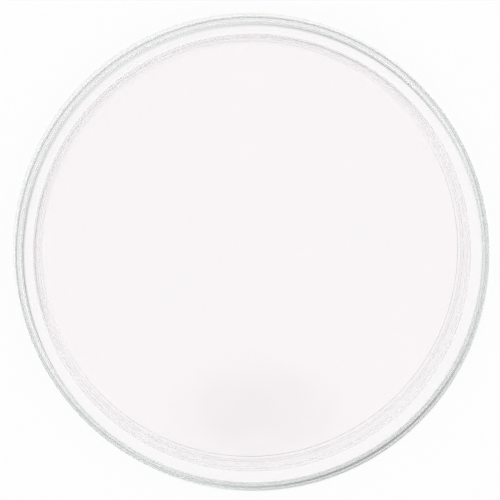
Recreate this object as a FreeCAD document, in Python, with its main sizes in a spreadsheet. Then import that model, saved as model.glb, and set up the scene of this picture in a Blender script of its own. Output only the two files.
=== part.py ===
import FreeCAD, Part
import os

import Sketcher

# A clear moulded petri dish in two pieces: a shallow dish, and the wider lid that drops over it.
# Everything is in millimetres. The origin is the centre of the plane the dish stands on, +Z is up,
# and both pieces are turned about Z.

OUT_FOLDER = "parts"

# Driving dimensions: alias, value, meaning.
SIZES = [
    ("overall_height", 15.0, "from the table to the top of the lid's stacking rim"),
    ("lid_radius", 47.0, "outside of the lid's skirt at its open edge"),
    ("lid_depth", 9.0, "from the top of the stacking rim down to the skirt's open edge"),
    ("skirt_thickness", 0.8, "wall of the lid's skirt"),
    ("skirt_taper", 0.5, "how much the skirt narrows in radius on its way up"),
    ("plate_thickness", 0.9, "flat top of the lid"),
    ("rim_rise", 0.5, "stacking rim above the flat top"),
    ("rim_width", 1.3, "stacking rim, measured outwards"),
    ("lid_shoulder_round", 0.5, "outer top corner of the lid"),
    ("lid_inner_round", 0.4, "corner between the lid's top and its skirt, inside"),
    ("dish_radius", 43.0, "outside of the dish's wall at its rim"),
    ("wall_thickness", 0.8, "wall of the dish"),
    ("wall_taper", 0.35, "how much the wall narrows in radius on its way down"),
    ("floor_thickness", 0.9, "floor of the dish"),
    ("foot_height", 0.35, "foot ring below the floor"),
    ("foot_width", 1.3, "foot ring, measured outwards"),
    ("heel_round", 0.5, "outer bottom corner of the dish"),
    ("floor_round", 0.6, "corner between the dish's floor and its wall, inside"),
    ("foot_round", 0.15, "both corners of the foot ring's inner step"),
    ("rim_round", 0.2, "both corners of the stacking rim's inner step"),
    ("edge_round", 0.3, "every other moulded edge"),
    ("seat_gap", 0.02, "running gap between the dish's rim and the lid resting on it"),
]

# Heights and radii that follow from the driving dimensions, each a sum of sizes.
PLATE_TOP = "overall_height - rim_rise"
PLATE_UNDERSIDE = "overall_height - rim_rise - plate_thickness"
SKIRT_EDGE = "overall_height - lid_depth"
LID_TOP_RADIUS = "lid_radius - skirt_taper"
DISH_RIM = "overall_height - rim_rise - plate_thickness - seat_gap"
FLOOR_TOP = "foot_height + floor_thickness"
HEEL_RADIUS = "dish_radius - wall_taper"

ON_AXIS = ""
ON_TABLE = ""
SHARP = None

# Each outline runs once round its section: radius, height, rounding of that corner.
DISH_OUTLINE = [
    (ON_AXIS, "foot_height", SHARP),
    (HEEL_RADIUS + " - foot_width", "foot_height", "foot_round"),
    (HEEL_RADIUS + " - foot_width", ON_TABLE, "foot_round"),
    (HEEL_RADIUS, ON_TABLE, "heel_round"),
    ("dish_radius", DISH_RIM, "edge_round"),
    ("dish_radius - wall_thickness", DISH_RIM, "edge_round"),
    (HEEL_RADIUS + " - wall_thickness", FLOOR_TOP, "floor_round"),
    (ON_AXIS, FLOOR_TOP, SHARP),
]

LID_OUTLINE = [
    (ON_AXIS, PLATE_UNDERSIDE, SHARP),
    (LID_TOP_RADIUS + " - skirt_thickness", PLATE_UNDERSIDE, "lid_inner_round"),
    ("lid_radius - skirt_thickness", SKIRT_EDGE, "edge_round"),
    ("lid_radius", SKIRT_EDGE, "edge_round"),
    (LID_TOP_RADIUS, "overall_height", "lid_shoulder_round"),
    (LID_TOP_RADIUS + " - rim_width", "overall_height", "rim_round"),
    (LID_TOP_RADIUS + " - rim_width", PLATE_TOP, "rim_round"),
    (ON_AXIS, PLATE_TOP, SHARP),
]

# Sketcher's own numbers for the origin and the two axes, and for a line's start and end.
HORIZONTAL_AXIS = -1
VERTICAL_AXIS = -2
ORIGIN = (-1, 1)
START = 1
END = 2

MATCH = 1e-4


def make_sheet(document):
    """The spreadsheet that every size is read from."""
    sheet = document.addObject("Spreadsheet::Sheet", "sizes")
    for row, (alias, value, meaning) in enumerate(SIZES, start=1):
        sheet.set(f"A{row}", alias)
        sheet.set(f"B{row}", str(value))
        sheet.set(f"C{row}", meaning)
        sheet.setAlias(f"B{row}", alias)
    document.recompute()
    return sheet


def length(sheet, sizes_sum):
    """What a sum of sizes comes to, read from the sheet; an empty sum is 0."""
    total = 0.0
    sign = 1
    for word in sizes_sum.split():
        if word in ("+", "-"):
            sign = 1 if word == "+" else -1
        else:
            total += sign * sheet.get(word)
    return total


def formula(sizes_sum):
    """The same sum as the expression that binds a constraint to the sheet."""
    words = [word if word in ("+", "-") else f"sizes.{word}" for word in sizes_sum.split()]
    return " ".join(words)


def section_plane(body):
    """The body's own XZ plane."""
    for feature in body.Origin.OriginFeatures:
        if feature.Role == "XZ_Plane":
            return feature
    raise RuntimeError(f"{body.Label} has no XZ plane")


def bind_coordinate(sketch, sheet, corner, kind, axis, name, sizes_sum):
    """Hold one coordinate of a corner: on an axis where the sum is empty, at a distance otherwise."""
    if not sizes_sum:
        sketch.addConstraint(Sketcher.Constraint("PointOnObject", corner, START, axis))
        return
    distance = Sketcher.Constraint(kind, *ORIGIN, corner, START, length(sheet, sizes_sum))
    index = sketch.addConstraint(distance)
    sketch.renameConstraint(index, name)
    sketch.setExpression(f"Constraints.{name}", formula(sizes_sum))


def draw_outline(body, sheet, name, outline):
    """A closed sketch of straight lines through the outline's corners, each bound to the sheet."""
    sketch = body.newObject("Sketcher::SketchObject", name)
    sketch.AttachmentSupport = (section_plane(body), [""])
    sketch.MapMode = "FlatFace"
    points = [
        FreeCAD.Vector(length(sheet, radius), length(sheet, height), 0)
        for radius, height, _ in outline
    ]
    count = len(points)
    for corner in range(count):
        sketch.addGeometry(Part.LineSegment(points[corner], points[(corner + 1) % count]), False)
    for corner in range(count):
        following = (corner + 1) % count
        sketch.addConstraint(Sketcher.Constraint("Coincident", corner, END, following, START))
    for corner, (radius, height, _) in enumerate(outline):
        bind_coordinate(sketch, sheet, corner, "DistanceX", VERTICAL_AXIS, f"radius_{corner}", radius)
        bind_coordinate(sketch, sheet, corner, "DistanceY", HORIZONTAL_AXIS, f"height_{corner}", height)
    return sketch


def ring_names(shape, rings):
    """Names of the shape's circular edges about Z that have one of these (radius, height) pairs."""
    names = []
    for number, edge in enumerate(shape.Edges, start=1):
        curve = edge.Curve
        if not isinstance(curve, Part.Circle):
            continue
        for radius, height in rings:
            if abs(curve.Radius - radius) < MATCH and abs(curve.Center.z - height) < MATCH:
                names.append(f"Edge{number}")
    if len(names) != len(rings):
        raise RuntimeError(f"found {len(names)} of the {len(rings)} rings to be rounded")
    return names


def round_corners(document, sheet, body, solid, outline):
    """Round the turned solid's corners, one fillet feature for each rounding in the outline."""
    roundings = sorted({rounding for _, _, rounding in outline if rounding})
    for rounding in roundings:
        rings = [
            (length(sheet, radius), length(sheet, height))
            for radius, height, corner_rounding in outline
            if corner_rounding == rounding
        ]
        fillet = body.newObject("PartDesign::Fillet", f"{body.Name}_{rounding}")
        fillet.Base = (solid, ring_names(solid.Shape, rings))
        fillet.setExpression("Radius", f"sizes.{rounding}")
        document.recompute()
        solid = fillet
    body.Tip = solid


def turned_piece(document, sheet, name, outline):
    """One piece of the object: its outline turned about Z, with its corners rounded."""
    body = document.addObject("PartDesign::Body", name)
    body.Label = name
    body.Placement = FreeCAD.Placement()
    sketch = draw_outline(body, sheet, f"{name}_outline", outline)
    turned = body.newObject("PartDesign::Revolution", f"{name}_turned")
    turned.Profile = (sketch, [""])
    turned.ReferenceAxis = (sketch, ["V_Axis"])
    turned.Angle = 360
    document.recompute()
    round_corners(document, sheet, body, turned, outline)
    return body


def check_document(document, pieces):
    """Stop before anything is written if a feature failed or a piece is not one sound solid."""
    for item in document.Objects:
        if "Invalid" in item.State or "Error" in item.State:
            raise RuntimeError(f"{item.Label} failed: {item.State}")
    for piece in pieces:
        shape = piece.Shape
        if shape.isNull() or not shape.isValid() or len(shape.Solids) != 1:
            raise RuntimeError(f"{piece.Label} is not one valid solid")


def main():
    document = FreeCAD.newDocument("petri_dish")
    sheet = make_sheet(document)
    pieces = [
        turned_piece(document, sheet, "dish", DISH_OUTLINE),
        turned_piece(document, sheet, "lid", LID_OUTLINE),
    ]
    document.recompute()
    check_document(document, pieces)
    os.makedirs(OUT_FOLDER, exist_ok=True)
    for piece in pieces:
        piece.Shape.exportStep(os.path.join(OUT_FOLDER, f"{piece.Label}.step"))
        box = piece.Shape.optimalBoundingBox()
        print(f"{piece.Label}: {box.XLength:.2f} mm across, from z {box.ZMin:.2f} to {box.ZMax:.2f} mm,"
              f" volume {piece.Shape.Volume:.0f} mm3")


main()
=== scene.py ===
import math

import bpy
from mathutils import Matrix, Vector


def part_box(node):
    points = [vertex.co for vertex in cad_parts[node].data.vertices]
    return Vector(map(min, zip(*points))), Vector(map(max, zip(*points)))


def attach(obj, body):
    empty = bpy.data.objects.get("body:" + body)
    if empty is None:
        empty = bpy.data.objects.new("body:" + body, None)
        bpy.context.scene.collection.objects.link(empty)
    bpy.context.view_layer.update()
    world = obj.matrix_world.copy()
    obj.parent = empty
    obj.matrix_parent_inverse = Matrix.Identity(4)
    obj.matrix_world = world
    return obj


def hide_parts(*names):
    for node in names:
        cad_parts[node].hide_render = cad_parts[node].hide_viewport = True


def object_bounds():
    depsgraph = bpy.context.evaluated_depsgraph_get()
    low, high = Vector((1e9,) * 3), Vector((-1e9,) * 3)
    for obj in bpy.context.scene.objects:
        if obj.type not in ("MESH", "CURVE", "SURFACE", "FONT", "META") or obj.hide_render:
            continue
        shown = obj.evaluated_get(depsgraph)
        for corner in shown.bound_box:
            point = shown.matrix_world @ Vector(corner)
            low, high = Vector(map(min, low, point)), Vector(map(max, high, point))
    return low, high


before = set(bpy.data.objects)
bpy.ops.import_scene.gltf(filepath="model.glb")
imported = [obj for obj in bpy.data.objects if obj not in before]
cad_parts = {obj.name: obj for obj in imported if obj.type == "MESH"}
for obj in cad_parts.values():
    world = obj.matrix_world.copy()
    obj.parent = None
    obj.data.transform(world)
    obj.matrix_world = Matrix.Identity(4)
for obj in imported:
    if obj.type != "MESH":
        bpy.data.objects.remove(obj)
cad_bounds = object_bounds()

# A clear moulded petri dish: smooth, finely divided shells of the lid and the dish. Lengths are in metres.

MM = 0.001

# ---------------------------------------------------------------------------------------------
# Sizes of the mouldings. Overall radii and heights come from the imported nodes.

SKIRT_THICKNESS = 0.8 * MM
SKIRT_TAPER = 0.5 * MM
PLATE_THICKNESS = 0.9 * MM
RIM_RISE = 0.5 * MM
RIM_WIDTH = 1.3 * MM
SHOULDER_ROUND = 0.5 * MM
LID_INNER_ROUND = 0.4 * MM
RIM_ROUND = 0.2 * MM
WALL_THICKNESS = 0.8 * MM
WALL_TAPER = 0.35 * MM
FLOOR_THICKNESS = 0.9 * MM
FOOT_HEIGHT = 0.35 * MM
FOOT_WIDTH = 1.3 * MM
HEEL_ROUND = 0.5 * MM
FLOOR_ROUND = 0.6 * MM
FOOT_ROUND = 0.15 * MM
EDGE_ROUND = 0.3 * MM
SHARP = 0.0

SEGMENTS = 480
ARC_STEP = math.radians(11)
FEWEST_ARC_STEPS = 4
SUPPORT = 0.04 * MM
LONGEST_RUN = 3.0 * MM


def rounded_corner(before, corner, after, rounding):
    """The points of one corner of an outline, with a support point on each side of its arc."""
    into = (corner - before).normalized()
    out = (after - corner).normalized()
    if rounding == SHARP:
        return [corner]
    cross = into.x * out.y - into.y * out.x
    turn = math.atan2(cross, into.dot(out))
    reach = rounding * math.tan(abs(turn) / 2)
    start = corner - into * reach
    side = math.copysign(1.0, turn)
    centre = start + Vector((-into.y, into.x)) * side * rounding
    steps = max(FEWEST_ARC_STEPS, math.ceil(abs(turn) / ARC_STEP))
    spoke = start - centre
    points = [start - into * SUPPORT]
    for step in range(steps + 1):
        points.append(centre + Matrix.Rotation(turn * step / steps, 2) @ spoke)
    points.append(corner + out * (reach + SUPPORT))
    return points


def outline_points(corners):
    """A closed section outline as (radius, height) points: arcs at the corners, long runs divided."""
    count = len(corners)
    points = []
    for index, (corner, rounding) in enumerate(corners):
        before = corners[index - 1][0]
        after = corners[(index + 1) % count][0]
        points += rounded_corner(before, corner, after, rounding)
    divided = []
    for index, point in enumerate(points):
        following = points[(index + 1) % len(points)]
        divided.append(point)
        on_axis = point.x < SUPPORT and following.x < SUPPORT
        pieces = 1 if on_axis else math.ceil((following - point).length / LONGEST_RUN)
        divided += [point.lerp(following, step / pieces) for step in range(1, pieces)]
    return divided


def turned(name, corners):
    """A closed shell: the outline turned about Z. The outline's first and last points lie on the axis."""
    points = outline_points(corners)
    vertices = [(0.0, 0.0, points[0].y)]
    for point in points[1:-1]:
        for segment in range(SEGMENTS):
            angle = 2 * math.pi * segment / SEGMENTS
            vertices.append((point.x * math.cos(angle), point.x * math.sin(angle), point.y))
    vertices.append((0.0, 0.0, points[-1].y))
    last = len(vertices) - 1
    rings = len(points) - 2
    faces = []
    for segment in range(SEGMENTS):
        following = (segment + 1) % SEGMENTS
        faces.append((0, 1 + following, 1 + segment))
        for ring in range(rings - 1):
            low = 1 + ring * SEGMENTS
            high = low + SEGMENTS
            faces.append((low + segment, low + following, high + following, high + segment))
        outer = 1 + (rings - 1) * SEGMENTS
        faces.append((last, outer + segment, outer + following))
    mesh = bpy.data.meshes.new(name)
    mesh.from_pydata(vertices, [], faces)
    mesh.validate()
    mesh.shade_smooth()
    shell = bpy.data.objects.new(name, mesh)
    bpy.context.scene.collection.objects.link(shell)
    return shell


def dish_corners():
    """Section of the dish from its underside, round the foot and the wall, to the floor inside."""
    low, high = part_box("dish")
    rim_radius = high.x
    heel_radius = rim_radius - WALL_TAPER
    underside = low.z + FOOT_HEIGHT
    floor_top = underside + FLOOR_THICKNESS
    return [
        (Vector((0, underside)), SHARP),
        (Vector((heel_radius - FOOT_WIDTH, underside)), FOOT_ROUND),
        (Vector((heel_radius - FOOT_WIDTH, low.z)), FOOT_ROUND),
        (Vector((heel_radius, low.z)), HEEL_ROUND),
        (Vector((rim_radius, high.z)), EDGE_ROUND),
        (Vector((rim_radius - WALL_THICKNESS, high.z)), EDGE_ROUND),
        (Vector((heel_radius - WALL_THICKNESS, floor_top)), FLOOR_ROUND),
        (Vector((0, floor_top)), SHARP),
    ]


def lid_corners():
    """Section of the lid from under its plate, down and up the skirt, to the plate inside the rim."""
    low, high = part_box("lid")
    edge_radius = high.x
    top_radius = edge_radius - SKIRT_TAPER
    plate_top = high.z - RIM_RISE
    plate_underside = plate_top - PLATE_THICKNESS
    return [
        (Vector((0, plate_underside)), SHARP),
        (Vector((top_radius - SKIRT_THICKNESS, plate_underside)), LID_INNER_ROUND),
        (Vector((edge_radius - SKIRT_THICKNESS, low.z)), EDGE_ROUND),
        (Vector((edge_radius, low.z)), EDGE_ROUND),
        (Vector((top_radius, high.z)), SHOULDER_ROUND),
        (Vector((top_radius - RIM_WIDTH, high.z)), RIM_ROUND),
        (Vector((top_radius - RIM_WIDTH, plate_top)), RIM_ROUND),
        (Vector((0, plate_top)), SHARP),
    ]


# ---------------------------------------------------------------------------------------------
# Node helpers. The Mix node's sockets share names, so they are picked by number.

MIX_FACTOR = 0
NUMBER_A, NUMBER_B, NUMBER_RESULT = 2, 3, 0
COLOUR_A, COLOUR_B, COLOUR_RESULT = 6, 7, 2


def node(tree, kind, inputs, **settings):
    """A new node with its settings, and each of its inputs linked to a socket or set to a value."""
    made = tree.nodes.new(kind)
    for name, value in settings.items():
        setattr(made, name, value)
    for key, value in inputs.items():
        if isinstance(value, bpy.types.NodeSocket):
            tree.links.new(value, made.inputs[key])
        else:
            made.inputs[key].default_value = value
    return made


def eased(tree, value, low, high, first, last):
    """A number that eases from first, where value is low or less, to last, where it is high or more."""
    inputs = {"Value": value, "From Min": low, "From Max": high, "To Min": first, "To Max": last}
    return node(tree, "ShaderNodeMapRange", inputs, interpolation_type="SMOOTHSTEP").outputs[0]


def mixed(tree, factor, first, second):
    """A colour between two others."""
    inputs = {MIX_FACTOR: factor, COLOUR_A: first, COLOUR_B: second}
    return node(tree, "ShaderNodeMix", inputs, data_type="RGBA").outputs[COLOUR_RESULT]


def grey(brightness):
    return (brightness, brightness, brightness, 1)


# ---------------------------------------------------------------------------------------------
# Clear polystyrene

POLYSTYRENE_IOR = 1.59
POLISHED = 0.02
PINK_CAST = (0.985, 0.966, 0.977, 1)
PALE_CAST = (1.0, 0.978, 0.989, 1)
WALL_CAST = (0.998, 1.0, 0.998, 1)
CLOUD_SCALE = 45.0
CLOUD_DETAIL = 3.0
RIPPLE_SCALE = 110.0
RIPPLE_DETAIL = 1.0
RIPPLE_STRENGTH = 0.3
RIPPLE_DEPTH = 0.04 * MM
SEEN_THROUGH_PLASTIC = (0.25, 0.40, 0.34, 1)

# A face counts as flat by how far its normal points up or down.
WALL_LEVEL = 0.7
FLAT_LEVEL = 0.99

# Share of light mirrored by a face where its shadow starts, and where the shadow is full.
SHADOW_STARTS = 0.27
SHADOW_FULL = 0.64


def plastic_colour(tree, place):
    """A faint pink cast, a little uneven, on the flat faces and hardly any on the walls."""
    inputs = {"Vector": place.outputs["Object"], "Scale": CLOUD_SCALE, "Detail": CLOUD_DETAIL}
    cloud = node(tree, "ShaderNodeTexNoise", inputs)
    flat_cast = mixed(tree, cloud.outputs["Fac"], PINK_CAST, PALE_CAST)
    normal = node(tree, "ShaderNodeSeparateXYZ", {0: place.outputs["Normal"]})
    level = node(tree, "ShaderNodeMath", {0: normal.outputs["Z"]}, operation="ABSOLUTE")
    flatness = eased(tree, level.outputs[0], WALL_LEVEL, FLAT_LEVEL, 0.0, 1.0)
    return mixed(tree, flatness, WALL_CAST, flat_cast)


def moulding_ripple(tree, place):
    """The slow ripple of a moulded face, as a bumped normal."""
    inputs = {"Vector": place.outputs["Object"], "Scale": RIPPLE_SCALE, "Detail": RIPPLE_DETAIL}
    ripple = node(tree, "ShaderNodeTexNoise", inputs)
    inputs = {"Height": ripple.outputs["Fac"], "Strength": RIPPLE_STRENGTH, "Distance": RIPPLE_DEPTH}
    return node(tree, "ShaderNodeBump", inputs).outputs["Normal"]


def shadow_of_plastic(tree, shade):
    """What shadow rays meet: clear where a face is met squarely, darker by shade where it is grazed."""
    geometry = node(tree, "ShaderNodeNewGeometry", {})
    inputs = {
        MIX_FACTOR: geometry.outputs["Backfacing"],
        NUMBER_A: POLYSTYRENE_IOR,
        NUMBER_B: 1 / POLYSTYRENE_IOR,
    }
    ior = node(tree, "ShaderNodeMix", inputs, data_type="FLOAT").outputs[NUMBER_RESULT]
    fresnel = node(tree, "ShaderNodeFresnel", {"IOR": ior})
    passed = eased(tree, fresnel.outputs[0], SHADOW_STARTS, SHADOW_FULL, 1.0, 1.0 - shade)
    return node(tree, "ShaderNodeBsdfTransparent", {"Color": passed}).outputs[0]


def clear_plastic(name, shade, absorb):
    """Clear plastic whose grazed faces hold back shade of the light, and that absorbs along its depth."""
    material = bpy.data.materials.new(name)
    material.use_nodes = True
    tree = material.node_tree
    tree.nodes.clear()
    place = node(tree, "ShaderNodeTexCoord", {})
    inputs = {
        "Base Color": plastic_colour(tree, place),
        "Normal": moulding_ripple(tree, place),
        "Roughness": POLISHED,
        "IOR": POLYSTYRENE_IOR,
        "Transmission Weight": 1.0,
    }
    surface = node(tree, "ShaderNodeBsdfPrincipled", inputs).outputs[0]
    shadow = shadow_of_plastic(tree, shade)
    path = node(tree, "ShaderNodeLightPath", {})
    for kind_of_ray in ("Is Shadow Ray", "Is Diffuse Ray"):
        inputs = {0: path.outputs[kind_of_ray], 1: surface, 2: shadow}
        surface = node(tree, "ShaderNodeMixShader", inputs).outputs[0]
    inputs = {"Color": SEEN_THROUGH_PLASTIC, "Density": absorb}
    volume = node(tree, "ShaderNodeVolumeAbsorption", inputs).outputs[0]
    node(tree, "ShaderNodeOutputMaterial", {"Surface": surface, "Volume": volume})
    return material


# ---------------------------------------------------------------------------------------------
# The pieces

DISH_SHADE = 0.06
DISH_ABSORPTION = 1.0
LID_SHADE = 1.0
LID_ABSORPTION = 24.0

dish = turned("dish_shell", dish_corners())
dish.data.materials.append(clear_plastic("dish_polystyrene", DISH_SHADE, DISH_ABSORPTION))
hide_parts("dish")
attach(dish, "dish")

lid = turned("lid_shell", lid_corners())
lid.data.materials.append(clear_plastic("lid_polystyrene", LID_SHADE, LID_ABSORPTION))
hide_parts("lid")
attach(lid, "lid")

# ---------------------------------------------------------------------------------------------
# The floor

HALF_FLOOR = 3.0
FLOOR_GAP = 0.02 * MM
FLOOR_GREY = 0.9
FLOOR_ROUGHNESS = 0.8


def paper_floor():
    """A plain pale floor just under the dish."""
    height = cad_bounds[0].z - FLOOR_GAP
    ends = (-HALF_FLOOR, HALF_FLOOR)
    corners = [(x, y, height) for y in ends for x in ends]
    mesh = bpy.data.meshes.new("floor")
    mesh.from_pydata(corners, [], [(0, 1, 3, 2)])
    floor = bpy.data.objects.new("floor", mesh)
    bpy.context.scene.collection.objects.link(floor)
    material = bpy.data.materials.new("floor_paper")
    material.use_nodes = True
    paper = material.node_tree.nodes["Principled BSDF"]
    paper.inputs["Base Color"].default_value = grey(FLOOR_GREY)
    paper.inputs["Roughness"].default_value = FLOOR_ROUGHNESS
    paper.inputs["Specular IOR Level"].default_value = 0.0
    mesh.materials.append(material)


paper_floor()

# ---------------------------------------------------------------------------------------------
# The studio's sky: a bright diffuser overhead, pale walls low down, and between them a room that is dark on
# the side away from the key lamp. Only mirrored and transmitted rays see it.

ZENITH_LIGHT = 1.0
PALE_WALL = 0.95
LIT_SIDE = 0.9
DARK_SIDE = 0.03
KEY_SIDE = Vector((-0.5, 0.87, 0))
DARK_UP_TO = -0.35
LIT_FROM = 0.1

# Heights of the unit direction at which the pale walls end and the diffuser starts.
WALLS_TO = 0.12
WALLS_GONE = 0.3
DIFFUSER_FROM = 0.8
DIFFUSER_FULL = 0.95

# A soft grey patch in the diffuser, mirrored by the flat plastic towards the lower edge of the picture.
PATCH_GREY = 0.62
PATCH_CENTRE = Vector((0.036, -0.092, 1))
PATCH_HALF_LENGTH = 0.021
PATCH_HALF_WIDTH = 0.013
PATCH_CORE = 0.1


def value_ramp(tree, source, stops):
    """A grey that follows source, eased between stops of (position, brightness)."""
    ramp = node(tree, "ShaderNodeValToRGB", {0: source})
    ramp.color_ramp.interpolation = "EASE"
    elements = ramp.color_ramp.elements
    while len(elements) < len(stops):
        elements.new(0.5)
    for element, (position, brightness) in zip(elements, stops):
        element.position = position
        element.color = grey(brightness)
    return ramp.outputs["Color"]


def grey_patch(tree, direction):
    """The diffuser's brightness, with its soft oval patch."""
    inputs = {0: direction, 1: PATCH_CENTRE}
    offset = node(tree, "ShaderNodeVectorMath", inputs, operation="SUBTRACT").outputs[0]
    inputs = {0: offset, 1: (1 / PATCH_HALF_LENGTH, 1 / PATCH_HALF_WIDTH, 0)}
    stretched = node(tree, "ShaderNodeVectorMath", inputs, operation="MULTIPLY").outputs[0]
    distance = node(tree, "ShaderNodeVectorMath", {0: stretched}, operation="LENGTH").outputs["Value"]
    return value_ramp(tree, distance, [(PATCH_CORE, PATCH_GREY), (1.0, ZENITH_LIGHT)])


def studio_sky():
    world = bpy.data.worlds.new("studio")
    bpy.context.scene.world = world
    world.use_nodes = True
    world.cycles_visibility.diffuse = False
    tree = world.node_tree
    direction = node(tree, "ShaderNodeTexCoord", {}).outputs["Generated"]
    height = node(tree, "ShaderNodeSeparateXYZ", {0: direction}).outputs["Z"]
    towards = node(tree, "ShaderNodeVectorMath", {0: direction, 1: KEY_SIDE}, operation="DOT_PRODUCT")
    lit_share = eased(tree, towards.outputs["Value"], DARK_UP_TO, LIT_FROM, 0.0, 1.0)
    room = mixed(tree, lit_share, grey(DARK_SIDE), grey(LIT_SIDE))
    wall_share = value_ramp(tree, height, [(0.0, 1.0), (WALLS_TO, 1.0), (WALLS_GONE, 0.0)])
    diffuser_share = value_ramp(tree, height, [(DIFFUSER_FROM, 0.0), (DIFFUSER_FULL, 1.0)])
    sides = mixed(tree, wall_share, room, grey(PALE_WALL))
    sky = mixed(tree, diffuser_share, sides, grey_patch(tree, direction))
    tree.links.new(sky, tree.nodes["Background"].inputs["Color"])
    tree.nodes["Background"].inputs["Strength"].default_value = 1.0


studio_sky()

# ---------------------------------------------------------------------------------------------
# Lamps. Only the floor and the shadows take light from them.

OVERHEAD = Vector((0, 0, 1))
KEY_SLANT = Vector((-0.065, 0.11, 1))
FILL_STRENGTH = 0.65
FILL_ANGLE = math.radians(150)
KEY_STRENGTH = 2.82
KEY_ANGLE = math.radians(2.5)


def sun(name, strength, angle, slant):
    """A lamp far away, on the side that slant points to."""
    data = bpy.data.lights.new(name, "SUN")
    data.energy = strength
    data.angle = angle
    lamp = bpy.data.objects.new(name, data)
    lamp.rotation_euler = slant.to_track_quat("Z", "Y").to_euler()
    lamp.visible_glossy = False
    lamp.visible_transmission = False
    bpy.context.scene.collection.objects.link(lamp)


sun("fill", FILL_STRENGTH, FILL_ANGLE, OVERHEAD)
sun("key", KEY_STRENGTH, KEY_ANGLE, KEY_SLANT)

# ---------------------------------------------------------------------------------------------
# The camera looks down, a little from the key lamp's side.

CAMERA_DISTANCE = 1.0
CAMERA_TILT = math.radians(4)
CAMERA_AZIMUTH = math.radians(120)
NEAR_CLIP = 0.01
AIM_OFFSET = Vector((-0.5 * MM, 0.7 * MM, 0))
OBJECT_SHARE = 0.96


def camera_overhead():
    """A camera over the lid's top, with the lid across OBJECT_SHARE of the picture."""
    data = bpy.data.cameras.new("camera")
    data.clip_start = NEAR_CLIP
    data.lens = data.sensor_width * CAMERA_DISTANCE * OBJECT_SHARE / (2 * cad_bounds[1].x)
    camera = bpy.data.objects.new("camera", data)
    lean = math.sin(CAMERA_TILT)
    back = Vector((lean * math.cos(CAMERA_AZIMUTH), lean * math.sin(CAMERA_AZIMUTH), math.cos(CAMERA_TILT)))
    right = Vector((0, 1, 0)).cross(back).normalized()
    camera.rotation_euler = Matrix((right, back.cross(right), back)).transposed().to_euler()
    camera.location = AIM_OFFSET + Vector((0, 0, cad_bounds[1].z)) + back * CAMERA_DISTANCE
    bpy.context.scene.collection.objects.link(camera)
    bpy.context.scene.camera = camera


camera_overhead()

# Light is trapped between the walls' faces for many reflections, so the bounce limits are high.
BOUNCES = 128

scene = bpy.context.scene
scene.view_settings.view_transform = "Standard"
scene.cycles.max_bounces = BOUNCES
scene.cycles.transmission_bounces = BOUNCES
scene.cycles.glossy_bounces = BOUNCES
scene.cycles.transparent_max_bounces = BOUNCES
